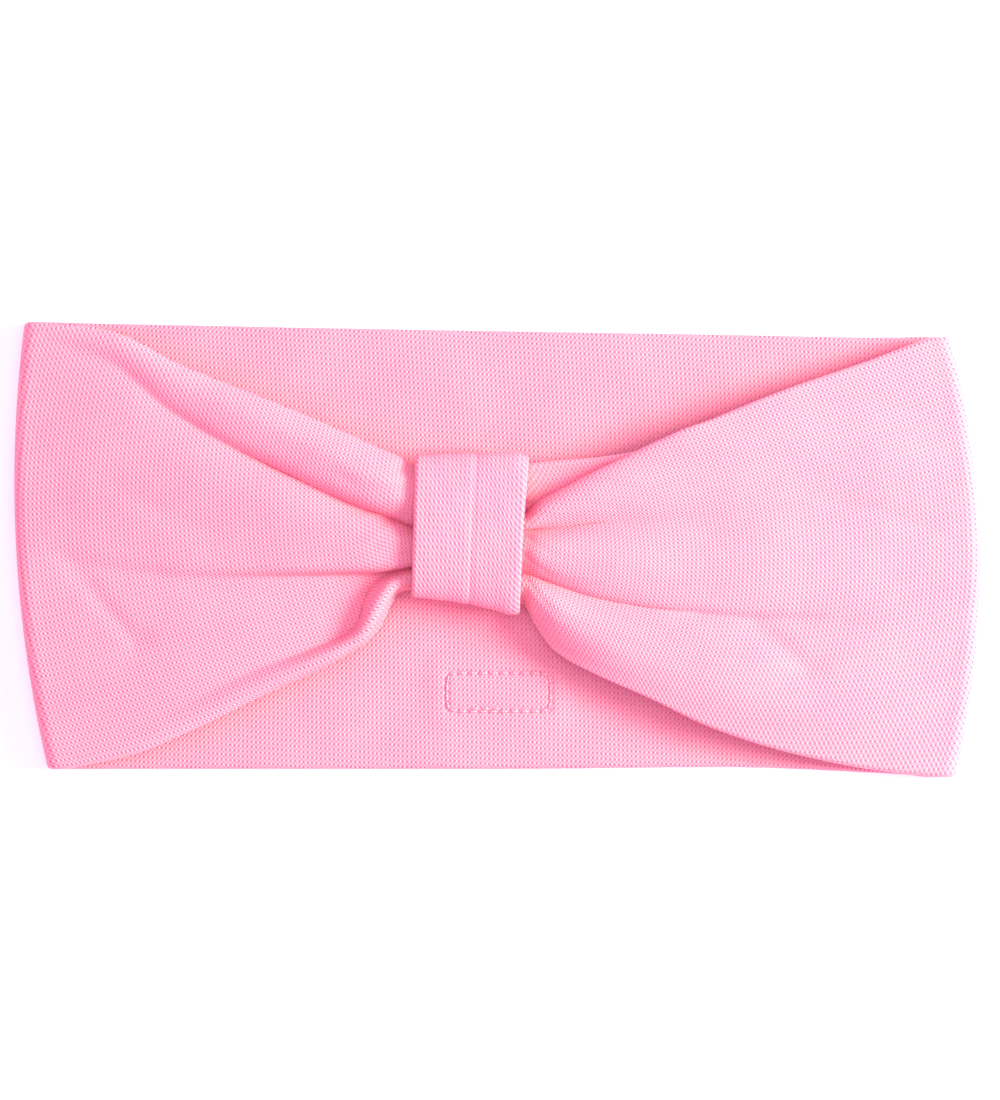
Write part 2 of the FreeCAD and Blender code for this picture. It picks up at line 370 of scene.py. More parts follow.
# %% [markdown]
# The band is one strip, and the grid follows it the whole way: from its joining
# seam under the loop, out along the left wing, round the left fold, back as the
# flat back panel, round the right fold and home under the loop.
#
# The wings hold all the character.  Gathered cloth shows crests and creases that
# fan out from the loop, so each wing is described as a dressmaker would chalk it:
# a few fold lines from its crown edge to its neck edge, each with its place across
# the band and its height at a few distances from the loop.

# %% A smooth curve through a few chalked values


def glide(stations, values, where):
    """Monotone cubic: Hermite pieces whose slopes are the harmonic mean of the
    slopes on both sides, or zero where those differ in sign, so it never overshoots."""
    stations = np.asarray(stations, float)
    values = np.asarray(values, float)
    steps = np.diff(stations)
    rises = np.diff(values) / steps
    inner = np.zeros(len(values) - 2)
    same_way = rises[:-1] * rises[1:] > 0
    before, after = rises[:-1][same_way], rises[1:][same_way]
    inner[same_way] = 2 * before * after / (before + after)
    slopes = np.concatenate([[rises[0]], inner, [rises[-1]]])
    where = np.clip(where, stations[0], stations[-1])
    k = np.clip(np.searchsorted(stations, where, side="right") - 1, 0, len(steps) - 1)
    t = (where - stations[k]) / steps[k]
    return (
        values[k] * (1 + 2 * t) * (1 - t) ** 2
        + slopes[k] * steps[k] * t * (1 - t) ** 2
        + values[k + 1] * t * t * (3 - 2 * t)
        - slopes[k + 1] * steps[k] * t * t * (1 - t)
    )


# %% [markdown]
# The numbers are millimetres: Y across the band, and Z of the middle between the
# two cloth layers.  A "turn" is where the cloth rolls over its own outline, a
# "crest" is the top of a roll, a "crease" the sharp bottom between two rolls, and a
# "bend" any smooth place between them.

# %% Fold lines of the left wing
LEFT_STATIONS = (0, 3, 5, 7, 9, 11, 14, 22, 35, 50, 65, 80)
LEFT_LINES = (
    ("edge", (10.0, 11.0, 11.6, 12.5, 13.5, 14.5, 16.0, 20.5, 27.5, 35.5, 46.0, 49.9),
     (5.4, 5.4, 5.4, 5.5, 5.6, 5.8, 6.1, 6.9, 6.9, 7.0, 7.2, 7.4)),
    ("turn", (17.9, 20.0, 20.9, 21.7, 22.7, 23.6, 25.0, 28.7, 34.2, 40.3, 47.6, 49.9),
     (8.6, 9.0, 9.1, 9.2, 9.2, 9.2, 9.2, 9.1, 8.8, 8.3, 7.7, 7.4)),
    ("crest", (12.2, 13.2, 14.1, 15.0, 16.0, 17.0, 18.6, 22.6, 28.6, 36.0, 45.0, 47.8),
     (12.9, 13.7, 14.0, 14.1, 14.2, 14.1, 13.9, 13.1, 11.8, 10.4, 8.9, 7.5)),
    ("bend", (6.6, 8.2, 9.0, 9.9, 10.9, 11.8, 13.4, 17.5, 24.1, 32.6, 43.3, 47.2),
     (10.8, 11.7, 12.1, 12.4, 12.6, 12.6, 12.6, 12.1, 11.1, 9.8, 8.4, 7.4)),
    ("crease", (4.9, 6.4, 7.2, 8.0, 8.7, 9.5, 10.8, 14.7, 21.3, 30.1, 41.6, 46.5),
     (6.8, 7.1, 7.3, 7.5, 7.7, 7.8, 7.9, 8.3, 8.3, 8.0, 7.5, 7.4)),
    ("bend", (1.0, 1.8, 2.3, 2.8, 3.2, 3.5, 4.2, 6.6, 11.0, 18.0, 29.0, 38.0),
     (12.0, 12.6, 12.8, 12.8, 12.8, 12.7, 12.5, 11.9, 11.1, 10.1, 8.7, 7.4)),
    ("bend", (-2.9, -3.3, -3.5, -3.6, -3.7, -3.8, -3.9, -4.0, -4.1, -3.9, -2.2, 0.8),
     (10.6, 11.2, 11.5, 11.7, 11.7, 11.6, 11.4, 11.0, 10.3, 9.5, 8.5, 7.5)),
    ("bend", (-3.9, -4.4, -4.7, -4.9, -5.1, -5.2, -5.3, -5.6, -5.9, -6.0, -4.2, -1.6),
     (6.2, 6.3, 6.4, 6.5, 6.6, 6.8, 7.1, 7.8, 8.4, 8.3, 7.9, 7.3)),
    ("crease", (-4.3, -5.2, -5.9, -6.9, -9.2, -15.6, -19.0, -22.3, -26.9, -33.6, -40.2, -44.0),
     (6.2, 6.1, 6.0, 5.9, 5.9, 6.3, 6.6, 7.2, 7.7, 7.9, 7.7, 7.4)),
    ("crest", (-6.3, -7.3, -8.6, -11.4, -15.3, -18.8, -21.0, -24.9, -30.2, -37.0, -43.2, -46.4),
     (10.4, 11.2, 11.6, 11.7, 11.7, 11.4, 11.0, 10.3, 9.4, 8.6, 7.9, 7.4)),
    ("edge", (-8.3, -9.0, -11.6, -15.9, -18.7, -20.4, -22.2, -26.4, -32.2, -39.4, -45.2, -48.3),
     (5.4, 5.6, 5.8, 5.9, 6.0, 6.1, 6.3, 6.9, 6.9, 7.0, 7.2, 7.4)),
)

# %% [markdown]
# The right wing lifts higher over the back panel, and opens in three broad rolls.

# %% Fold lines of the right wing
RIGHT_STATIONS = (0, 3, 7, 15, 27, 41, 58, 76, 91)
RIGHT_LINES = (
    ("edge", (18.5, 19.0, 19.4, 20.0, 22.0, 28.2, 35.0, 41.1, 46.6),
     (7.6, 7.4, 7.4, 8.0, 10.6, 11.0, 9.9, 8.5, 7.4)),
    ("crease", (7.2, 9.8, 12.0, 16.3, 21.9, 28.1, 34.9, 41.0, 46.5),
     (6.6, 6.6, 6.8, 7.4, 10.5, 11.0, 9.9, 8.5, 7.4)),
    ("turn", (7.0, 9.9, 12.2, 16.4, 22.0, 28.1, 34.9, 41.0, 46.5),
     (9.6, 10.6, 11.2, 11.7, 11.8, 11.2, 10.0, 8.6, 7.4)),
    ("crest", (5.4, 8.0, 9.8, 13.0, 17.0, 21.6, 26.5, 31.0, 35.0),
     (11.6, 12.9, 13.3, 13.1, 12.6, 11.6, 10.2, 8.7, 7.4)),
    ("crease", (4.2, 4.4, 4.8, 5.8, 6.6, 7.3, 9.0, 10.2, 6.0),
     (7.6, 8.4, 9.0, 9.9, 10.3, 10.1, 9.3, 8.3, 7.4)),
    ("crest", (-0.5, -0.8, -1.2, -2.2, -3.2, -3.8, -3.8, -3.5, -3.0),
     (12.0, 13.4, 13.7, 13.3, 12.4, 11.4, 10.2, 8.7, 7.4)),
    ("bend", (-4.1, -4.9, -6.3, -8.8, -10.8, -12.1, -13.2, -14.0, -14.9),
     (9.6, 11.0, 11.5, 11.4, 11.0, 10.4, 9.7, 8.6, 7.4)),
    ("crease", (-5.2, -6.2, -7.9, -10.6, -12.8, -14.3, -15.4, -16.0, -16.4),
     (6.8, 7.5, 8.1, 8.8, 9.3, 9.4, 9.1, 8.4, 7.4)),
    ("crest", (-8.4, -10.8, -13.8, -18.4, -23.2, -28.6, -34.0, -37.5, -40.0),
     (10.6, 12.1, 12.7, 12.5, 12.0, 11.1, 9.9, 8.6, 7.4)),
    ("edge", (-11.6, -17.6, -22.7, -27.3, -32.6, -39.2, -44.6, -48.3, -50.1),
     (5.6, 6.2, 7.0, 8.6, 9.6, 9.4, 8.7, 8.0, 7.4)),
)
print(len(LEFT_LINES), "fold lines on the left,", len(RIGHT_LINES), "on the right")

# %% [markdown]
# Across the band, each fold line hands over to the next in one smooth step.  On a
# crest the height is level; at a crease it comes in steep from both sides, so the
# rolls look full and meet in a sharp line; at a turn the cloth runs straight up.
# The section is then measured, and its columns are spread evenly along the cloth.

# %% The section of a gathered wing
FINE_STEPS = 360
CREASE_STEEPNESS = 2.0
TURN_FADE = 2.0


def section_slopes(kinds, share, values, chords, upright):
    """Slope on each side of every fold line, per unit of share across the cloth."""
    rise = np.diff(values, axis=0) / np.diff(share, axis=0)
    before = np.concatenate([rise[:1], rise])
    after = np.concatenate([rise, rise[-1:]])
    product = before * after
    mean = np.where(product > 0, 2 * product / np.where(product > 0, before + after, 1), 0)
    into, out_of = before.copy(), after.copy()
    for k, kind in enumerate(kinds):
        if kind == "crest" and upright:
            into[k] = out_of[k] = 0
        elif kind == "crease" and upright:
            into[k] = CREASE_STEEPNESS * before[k]
            out_of[k] = CREASE_STEEPNESS * after[k]
        elif kind == "turn" and not upright:
            fade = TURN_FADE / (TURN_FADE + chords[k - 1])
            into[k] = before[k] * fade
            out_of[k] = after[k] * fade
        elif kind != "edge":
            into[k] = out_of[k] = mean[k]
    return into, out_of


def wing_section(stations, lines, distance, columns):
    """(rows, columns) of Y and of Z across a wing, and each row's cloth width.

    Hermite pieces join the fold lines; each line's share of the cloth is its
    distance along the chords, and the columns are then spaced by arc length."""
    kinds = [kind for kind, _, _ in lines]
    ys = np.array([glide(stations, y, distance) for _, y, _ in lines])
    zs = np.array([glide(stations, z, distance) for _, _, z in lines])
    chords = np.hypot(np.diff(ys, axis=0), np.diff(zs, axis=0)) + 1e-4
    share = np.concatenate([np.zeros((1, len(distance))), np.cumsum(chords, axis=0)])
    share = share / share[-1]
    fine = np.linspace(0, 1, FINE_STEPS)
    at = (fine[None, :, None] >= share.T[:, None, 1:-1]).sum(axis=2)
    row = np.arange(len(distance))[:, None]
    width = share[at + 1, row] - share[at, row]
    t = (fine[None, :] - share[at, row]) / width
    found = []
    for values, upright in ((ys, False), (zs, True)):
        into, out_of = section_slopes(kinds, share, values, chords, upright)
        found.append(
            values[at, row] * (1 + 2 * t) * (1 - t) ** 2
            + out_of[at, row] * width * t * (1 - t) ** 2
            + values[at + 1, row] * t * t * (3 - 2 * t)
            - into[at + 1, row] * width * t * t * (1 - t)
        )
    y, z = found
    arc = np.hypot(np.diff(y, axis=1), np.diff(z, axis=1))
    arc = np.concatenate([np.zeros((len(y), 1)), np.cumsum(arc, axis=1)], axis=1)
    cloth_width = arc[:, -1]
    offset = 2.0 * np.arange(len(y))[:, None]
    wanted = (columns[None, :] + offset).ravel()
    along = (arc / arc[:, -1:] + offset).ravel()
    shape = (len(y), len(columns))
    return (
        np.interp(wanted, along, y.ravel()).reshape(shape),
        np.interp(wanted, along, z.ravel()).reshape(shape),
        cloth_width,
    )


# %% [markdown]
# Columns across the band stand about 1 mm apart.  They are closer at both edges,
# which are rolled, and over the label near the neck edge, where the stitching
# dents the cloth.

# %% Rows and columns of the band's grid
CLOTH_WIDTH = 98.0
CLOTH = 0.8
FOLD_RADIUS = 3.3
LABEL_MIDDLE = np.array([0.3, -31.5])
LABEL_SIZE = np.array([25.4, 11.0])
BACK_MIDDLE = CLOTH
ROLLED_EDGE = 1.5
EDGE_STEP, COLUMN_STEP, LABEL_COLUMN_STEP = 0.3, 1.06, 0.4


def spaced(knots, steps):
    """Evenly spaced runs between knots, each cut to about its own step."""
    runs = [
        np.linspace(a, b, max(2, int(round(abs(b - a) / step)) + 1))[:-1]
        for a, b, step in zip(knots[:-1], knots[1:], steps)
    ]
    return np.concatenate([*runs, knots[-1:]])


label_top = CLOTH_WIDTH / 2 - (LABEL_MIDDLE[1] + LABEL_SIZE[1] / 2)
label_foot = CLOTH_WIDTH / 2 - (LABEL_MIDDLE[1] - LABEL_SIZE[1] / 2)
knots = [0, ROLLED_EDGE, label_top, label_foot, CLOTH_WIDTH - ROLLED_EDGE, CLOTH_WIDTH]
columns = spaced(
    np.array(knots), (EDGE_STEP, COLUMN_STEP, LABEL_COLUMN_STEP, COLUMN_STEP, EDGE_STEP)
) / CLOTH_WIDTH
from_edge = np.minimum(columns, 1 - columns) * CLOTH_WIDTH
print(len(columns), "columns")

# %% [markdown]
# The side folds bow outwards: the band is longest a little above its middle.  The
# fold itself is half a superellipse round the gap between front and back, fuller
# than a half circle, because the cloth lies flat almost up to the fold.  The back
# panel's two long edges sag a little, as cloth does between its seams.

# %% The route of the band
LEFT_LOOP_EDGE = -19.0
RIGHT_LOOP_EDGE = 6.5
SEAM_X = (LEFT_LOOP_EDGE + RIGHT_LOOP_EDGE) / 2
SEAM_GAP = 0.6
HALF_LENGTH = 106.25
TUCKED_ROWS = 6
NEAR_LOOP = 0.3
NEAR_STEP, FAR_STEP = 0.78, 1.0
FOLD_STEPS = 22
UPPER_FOLD_POWER, LOWER_FOLD_POWER = 4.0, 2.4
LEFT_INSETS = (2.3, 7.4)
RIGHT_INSETS = (6.6, 5.5)
BACK_STATIONS = (-104, -50, 0, 50, 85, 99)
BACK_CROWN = (49.9, 48.8, 47.9, 47.1, 46.5, 46.7)
BACK_NECK = (-48.3, -48.3, -48.3, -47.9, -49.2, -50.1)


def fold_x(sign, insets, share):
    """X where the fold starts.  The inset is a parabola through both corners."""
    crown, neck = np.sqrt(insets[0]), np.sqrt(insets[1])
    reach = neck * share - crown * (1 - share)
    return sign * (HALF_LENGTH - reach ** 2 - FOLD_RADIUS - CLOTH)


def half_band(sign, loop_edge, insets, stations, lines):
    """Rows from the joining seam to the end of one side fold, (rows, columns, 3)."""
    start = SEAM_X + sign * SEAM_GAP / 2
    reach = abs(fold_x(sign, insets, 0.5) - loop_edge)
    under_loop = np.linspace(start, loop_edge, TUCKED_ROWS + 1)[:-1]
    out = spaced(np.array([0, NEAR_LOOP, 1.0]), (NEAR_STEP / reach, FAR_STEP / reach))
    y, z, width = wing_section(stations, lines, out * stations[-1], columns)
    fold_at = fold_x(sign, insets, columns)[None, :]
    x = loop_edge + (fold_at - loop_edge) * out[:, None]
    wing = np.stack([x, y, z], axis=-1)
    tucked = np.repeat(wing[:1], len(under_loop), axis=0)
    tucked[..., 0] = under_loop[:, None]
    turn = np.linspace(0, np.pi, FOLD_STEPS + 1)[1:, None]
    power = np.where(np.cos(turn) > 0, UPPER_FOLD_POWER, LOWER_FOLD_POWER)
    bend_x = fold_at + sign * FOLD_RADIUS * np.sin(turn) ** (2 / power)
    bend_y = np.repeat(wing[-1:, :, 1], len(turn), axis=0)
    flat_way = np.sign(np.cos(turn)) * np.abs(np.cos(turn)) ** (2 / power)
    bend_z = BACK_MIDDLE + FOLD_RADIUS * (1 + flat_way) + 0 * bend_x
    bend = np.stack([bend_x, bend_y, bend_z], axis=-1)
    print("wing cloth is", width.min().round(1), "to", width.max().round(1), "mm wide")
    return np.concatenate([tucked, wing, bend])


left_half = half_band(-1, LEFT_LOOP_EDGE, LEFT_INSETS, LEFT_STATIONS, LEFT_LINES)
right_half = half_band(1, RIGHT_LOOP_EDGE, RIGHT_INSETS, RIGHT_STATIONS, RIGHT_LINES)

# %% [markdown]
# Real cloth is never as clean as chalk lines.  First one light smoothing lets the
# stitches share the bends between them.  Then fine gathers run out from under the
# loop and die away within a few centimetres, and a few soft press lines cross the
# wings.  Both fade near the long edges and the side folds, which stay calm.

# %% Fine gathers and press lines
GATHER_HEIGHT = 0.22
GATHER_REACH = 14.0
LINE_FADE = 6.0
CALM_EDGE = 3.0
CALM_FOLD = 12.0
# Each soft line: its depth, its width, then (x, y) along it.
SOFT_LINES = (
    (0.45, 2.2, ((-103, 3.0), (-96, -1.4), (-88, -3.7), (-75, -4.6))),
    (0.55, 3.0, ((-95, -3.0), (-90, -8.0), (-85, -14.0), (-80, -20.0))),
    (0.30, 3.0, ((-84, 14.0), (-74, 8.0), (-64, 4.0))),
    (0.55, 1.5, ((44, -14.4), (56, -15.6), (67, -15.2))),
    (0.55, 3.0, ((57, -17.5), (62, -21.0), (68, -26.0))),
    (0.40, 2.0, ((76, 9.8), (85, 8.0), (95, 5.0), (103, 1.5))),
    (0.25, 2.6, ((70, -14.0), (82, -12.0), (98, -9.0))),
    (0.30, 1.5, ((-36, 17.5), (-31, 14.5), (-26, 13.5), (-20, 13.8))),
    (0.35, 1.2, ((-33, 19.5), (-28, 17.2), (-24, 16.8), (-20, 17.0))),
)


def gathers(x, across):
    """Three sine waves across the band, of shares 1, 0.7 and 0.4 (2.1 in all), times
    exp(-distance from the loop / reach)."""
    distance = np.maximum(np.maximum(LEFT_LOOP_EDGE - x, x - RIGHT_LOOP_EDGE), 0)
    ripple = (
        np.sin(2 * np.pi * (9 * across + 0.004 * x) + 0.4)
        + 0.7 * np.sin(2 * np.pi * (14 * across - 0.006 * x) + 2.1)
        + 0.4 * np.sin(2 * np.pi * (23 * across + 0.010 * x) + 4.0)
    )
    return GATHER_HEIGHT * ripple * np.exp(-distance / GATHER_REACH) / 2.1


def soft_line(x, y, depth, width, line):
    """A shallow trough along a line: depth times exp(-(distance / width) squared),
    fading out past both ends."""
    corners = np.array(line)
    off_line = y - np.interp(x, corners[:, 0], corners[:, 1])
    ends = np.minimum(x - corners[0, 0], corners[-1, 0] - x)
    return depth * np.clip(ends / LINE_FADE + 1, 0, 1) * np.exp(-((off_line / width) ** 2))


def relax(points, rounds, share=0.5):
    """Each inner point moves part way to the mean of its four neighbours."""
    for _ in range(rounds):
        beside = points[:-2, 1:-1] + points[2:, 1:-1] + points[1:-1, :-2] + points[1:-1, 2:]
        points[1:-1, 1:-1] += share * (beside / 4 - points[1:-1, 1:-1])
    return points


def dress(half, sign):
    """Smooths a wing, then adds its small folds along its normals, fading at edges
    and fold."""
    wing = relax(half[:-FOLD_STEPS], 1)
    x, y = wing[..., 0], wing[..., 1]
    lift = gathers(x, columns[None, :] + 0 * x)
    for depth, width, line in SOFT_LINES:
        lift = lift - soft_line(x, y, depth, width, line)
    to_fold = (wing[-1:, :, 0] - x) * sign
    near_edge = np.clip(from_edge / CALM_EDGE, 0, 1)[None, :]
    calm = near_edge * np.clip(to_fold / CALM_FOLD, 0, 1)
    wing -= sign * grid_normals(wing) * (lift * calm)[..., None]
    return half


left_half = dress(left_half, -1)
right_half = dress(right_half, 1)
print(len(SOFT_LINES), "soft lines pressed into the wings")

# %% [markdown]
# The back panel lies flat between the two folds.  Its rows are about 1.7 mm apart,
# and 0.4 mm where the label is sewn on.  They stand at shares of the panel's length,
# which is taken as 180 mm to find the label and as 190 mm to space the rows.

# %% The back panel between the folds
PLACING_LENGTH = 180.0
SPACING_LENGTH = 190.0
ROW_STEP = 1.7
LABEL_STEP = 0.4
END_BLEND = 0.04
label_ends = PLACING_LENGTH / 2 + LABEL_MIDDLE[0] + LABEL_SIZE[0] / 2 * np.array([-1, 1])
back_rows = spaced(
    np.array([0, *label_ends / PLACING_LENGTH, 1]),
    (ROW_STEP / SPACING_LENGTH, LABEL_STEP / SPACING_LENGTH, ROW_STEP / SPACING_LENGTH),
)[1:-1, None]
left_end, right_end = left_half[-1], right_half[-1]
back_x = left_end[None, :, 0] * (1 - back_rows) + right_end[None, :, 0] * back_rows
back_crown = glide(BACK_STATIONS, BACK_CROWN, back_x)
back_neck = glide(BACK_STATIONS, BACK_NECK, back_x)
ends_y = left_end[None, :, 1] * (1 - back_rows) + right_end[None, :, 1] * back_rows
back_y = back_crown + (back_neck - back_crown) * columns[None, :]
end_pull = np.clip(np.minimum(back_rows, 1 - back_rows) / END_BLEND, 0, 1)
back_y = ends_y + (back_y - ends_y) * end_pull * end_pull * (3 - 2 * end_pull)
back = np.stack([back_x, back_y, np.full_like(back_x, BACK_MIDDLE)], axis=-1)
middle_grid = np.concatenate([left_half, back, right_half[::-1]])
print("band grid:", middle_grid.shape[:2])

# %% [markdown]
# A sewn-on label sits under the back panel.  The cloth rises a little over it, and
# its stitching pulls a shallow groove, deepest where the needle went through.

# %% The cloth over the label
LABEL_LIFT = 0.42
LABEL_CORNER = 0.8
LIFT_START = 0.2
LIFT_FADE = 5.0
STITCH_COUNTS = (10, 4)
STITCH_INSET = 1.3
STITCH_CORNER = 0.45
ROW_CORNER = 0.3
ROW_DENT, ROW_SPREAD = 0.20, 0.6
HOLE_DENT, HOLE_SPREAD = 0.42, 0.42


def box_distance(x, y, size, corner):
    """Signed distance to a rounded rectangle round the label's middle: the length of
    the part outside the inner corners, minus the corner radius."""
    dx = np.abs(x - LABEL_MIDDLE[0]) - size[0] / 2 + corner
    dy = np.abs(y - LABEL_MIDDLE[1]) - size[1] / 2 + corner
    outside = np.hypot(np.maximum(dx, 0), np.maximum(dy, 0))
    return outside + np.minimum(np.maximum(dx, dy), 0) - corner


def stitch_path(count_x, count_y):
    """Needle holes round the rectangle of stitching, (stitches, 2), once round."""
    half_x, half_y = LABEL_SIZE / 2 - STITCH_INSET
    edge_x = np.linspace(-half_x, half_x, count_x + 1)[:-1]
    edge_y = np.linspace(-half_y, half_y, count_y + 1)[:-1]
    top = np.stack([edge_x, 0 * edge_x + half_y], axis=1)
    right = np.stack([0 * edge_y + half_x, -edge_y], axis=1)
    foot = np.stack([-edge_x, 0 * edge_x - half_y], axis=1)
    left = np.stack([0 * edge_y - half_x, edge_y], axis=1)
    for side in (top, right, foot, left):
        side[0] -= STITCH_CORNER * np.sign(side[0])
    return LABEL_MIDDLE + np.concatenate([top, right, foot, left])


def slack(x, y):
    """The soft unevenness of a panel that only lies there: two slow waves."""
    return 0.08 * (2 + np.sin(x / 17 + y / 23) + np.cos(y / 13 - x / 41))


holes = stitch_path(*STITCH_COUNTS)
back_slice = slice(len(left_half), len(left_half) + len(back))
back_x, back_y = middle_grid[back_slice, :, 0], middle_grid[back_slice, :, 1]
to_label = box_distance(back_x, back_y, LABEL_SIZE, LABEL_CORNER)
ease = np.clip(1 - (to_label - LIFT_START) / LIFT_FADE, 0, 1)
middle_grid[back_slice, :, 2] += LABEL_LIFT * ease ** 2 * (3 - 2 * ease)
middle_grid[back_slice, :, 2] += slack(back_x, back_y) * end_pull

row_size = LABEL_SIZE - 2 * STITCH_INSET
to_row = np.abs(box_distance(back_x, back_y, row_size, ROW_CORNER))
to_holes = np.hypot(
    back_x[..., None] - holes[:, 0], back_y[..., None] - holes[:, 1]
).min(axis=2)
groove = ROW_DENT * np.exp(-((to_row / ROW_SPREAD) ** 2))
groove = groove + HOLE_DENT * np.exp(-((to_holes / HOLE_SPREAD) ** 2))
print("deepest dent of the stitching:", groove.max().round(2), "mm")

# %% [markdown]
# Now the cloth coordinates.  Along the band they are the distance travelled along
# each column; across it, the place in the cloth's width.  A gathered knit also
# squashes a little sideways, so the width used lies between the cut width and what
# the folds take up.

# %% Cloth coordinates of the band
SQUASH = 0.5
steps_along = np.linalg.norm(np.diff(middle_grid, axis=0), axis=2)
travelled = np.concatenate([np.zeros((1, len(columns))), np.cumsum(steps_along, axis=0)])
travelled -= travelled[len(left_half) + len(back) // 2]
steps_across = np.linalg.norm(np.diff(middle_grid, axis=1), axis=2)
taken_up = steps_across.sum(axis=1)
width_used = SQUASH * CLOTH_WIDTH + (1 - SQUASH) * taken_up
across = (0.5 - columns)[None, :] * width_used[:, None]
band_cloth = np.stack([travelled, across], axis=-1)

# %% [markdown]
# The strip is double.  Its two layers were sewn face to face and turned, so they
# meet in a rounded edge with a seam sunk between them: each layer thins to nothing
# along a quarter circle at the edge.

# %% The outer and the inner layer
LAYER_GAP = 0.03
EDGE_ROUND = 1.1
normals = grid_normals(middle_grid)
near_edge = np.clip(1 - from_edge / EDGE_ROUND, 0, 1)
thickness = np.maximum(CLOTH * np.sqrt(1 - near_edge ** 2), 3 * LAYER_GAP)
outer_face = middle_grid + thickness[None, :, None] * normals
inner_thickness = np.repeat(thickness[None, :], len(middle_grid), axis=0)
inner_thickness[back_slice] -= groove * np.clip(from_edge / CALM_EDGE, 0, 1)
inner_face = middle_grid - inner_thickness[..., None] * normals
outer = sheet_between(
    "outer_cloth", middle_grid + LAYER_GAP * normals, outer_face, band_cloth,
    band_knit,
)
inner = sheet_between(
    "inner_cloth", inner_face, middle_grid - LAYER_GAP * normals, band_cloth,
    band_knit,
)
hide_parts("outer_layer")
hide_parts("inner_layer")

# %% [markdown]
# Sewing thread is two fine yarns twisted together, so a highlight on it breaks into
# slanting beads.  The beads are painted: a pale colour along each ply as a painted
# highlight, a darker one between the plies as painted shade.  Real beads are 0.3 mm
# long; these are twice that, to show at all.

# %% Sewing thread material
TWIST = 0.6 * MM


def thread_material():
    """Twisted thread: a sine along the thread plus its turn round it makes a helix."""
    material, tree = blank_material("spun_polyester_thread")
    cloth = node(tree, "UVMap", {"uv_map": "cloth"})
    place = node(tree, "SeparateXYZ", None, cloth)
    along = node(tree, "Math", DIVIDE, place.outputs[0], TWIST)
    around = node(tree, "Math", DIVIDE, place.outputs[1], MM)
    helix = node(tree, "Math", ADD, along, around)
    helix = node(tree, "Math", MULTIPLY, helix, 2 * np.pi)
    ply = node(tree, "Math", SINE, helix)
    tone = node(tree, "MapRange", None, ply, From_Min=-1.0, From_Max=1.0)
    # Painted highlight and shade: the pale colour on the crest of each ply, the dark one
    # between the plies.
    colour_with_painted_light = node(tree, "MixRGB", None, tone, linear("#FB8FAE"), linear("#FEC9D8"))
    relief = node(tree, "Bump", None, Height=ply, Strength=0.5, Distance=0.06 * MM)
    surface = node(
        tree, "BsdfPrincipled", None,
        Base_Color=colour_with_painted_light, Roughness=0.5, Normal=relief, Sheen_Weight=0.3,
    )
    node(tree, "OutputMaterial", None, surface)
    return material


thread = thread_material()
print("thread material:", thread.name)

# %% [markdown]
# A thread is a tube carried along a path.  The section stands across the path, so
# we need two directions square to it.  The first is square to the cloth's normal as
# well, and the second is square to the first; both are cross products.

# %% Tubes along paths


def tubes(paths, ups, radius, sides=8):
    """Points (paths, steps, sides, 3), quads and cloth coordinates of closed tubes:
    path + radius * (cos(angle) * side + sin(angle) * up), with a flat cap each end."""
    ahead = unit(np.gradient(paths, axis=1))
    side = unit(np.cross(ahead, ups))
    up = np.cross(side, ahead)
    angle = np.linspace(0, 2 * np.pi, sides, endpoint=False)[:, None]
    ring = np.cos(angle) * side[:, :, None, :] + np.sin(angle) * up[:, :, None, :]
    points = paths[:, :, None, :] + radius[..., None, None] * ring
    count, steps = paths.shape[:2]
    numbers = np.arange(count * steps * sides).reshape(count, steps, sides)
    beside = np.roll(numbers, -1, axis=2)
    walls = np.stack(
        [numbers[:, :-1], beside[:, :-1], beside[:, 1:], numbers[:, 1:]], axis=-1
    ).reshape(-1, 4)
    fan = np.arange(1, sides - 1, 2)
    corners = np.stack([0 * fan, fan, fan + 1, (fan + 2) % sides], axis=1)
    start = numbers[:, 0][:, corners[:, ::-1]].reshape(-1, 4)
    end = numbers[:, -1][:, corners].reshape(-1, 4)
    lengths = np.linalg.norm(np.diff(paths, axis=1), axis=2)
    reach = np.concatenate([np.zeros((count, 1)), np.cumsum(lengths, axis=1)], axis=1)
    cloth = np.stack(
        np.broadcast_arrays(reach[..., None], angle[:, 0] / (2 * np.pi)), axis=-1
    )
    return points.reshape(-1, 3), np.concatenate([walls, start, end]), cloth.reshape(-1, 2)


# %% [markdown]
# Each long edge is closed by a line of lockstitch sunk between the layers.  The
# thread swells between the needle holes and is pulled thin at each of them.

# %% The two edge seams
SEAM_THREAD = 0.24
SEAM_PITCH = 2.2
SEAM_SINK = 0.12
for name, column, node_name in (
    ("crown_edge_thread", 0, "crown_edge_seam"), ("neck_edge_thread", -1, "neck_edge_seam")
):
    inwards = unit(middle_grid[:, 1 if column == 0 else -2] - middle_grid[:, column])
    line = middle_grid[:, column] + SEAM_SINK * inwards
    beat = np.abs(np.sin(np.pi * travelled[:, column] / SEAM_PITCH))
    swell = SEAM_THREAD * (0.72 + 0.28 * beat)
    points, quads, cloth = tubes(line[None], normals[None, :, column], swell[None])
    seam = put_in_mesh(name, points, quads, cloth, thread)
    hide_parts(node_name)

# %% [markdown]
# The ring is closed by one seam across the strip, hidden inside the loop.  It joins
# two differently gathered ends, so its surface is ruled: straight lines from each
# point of one end to the same point of the other.

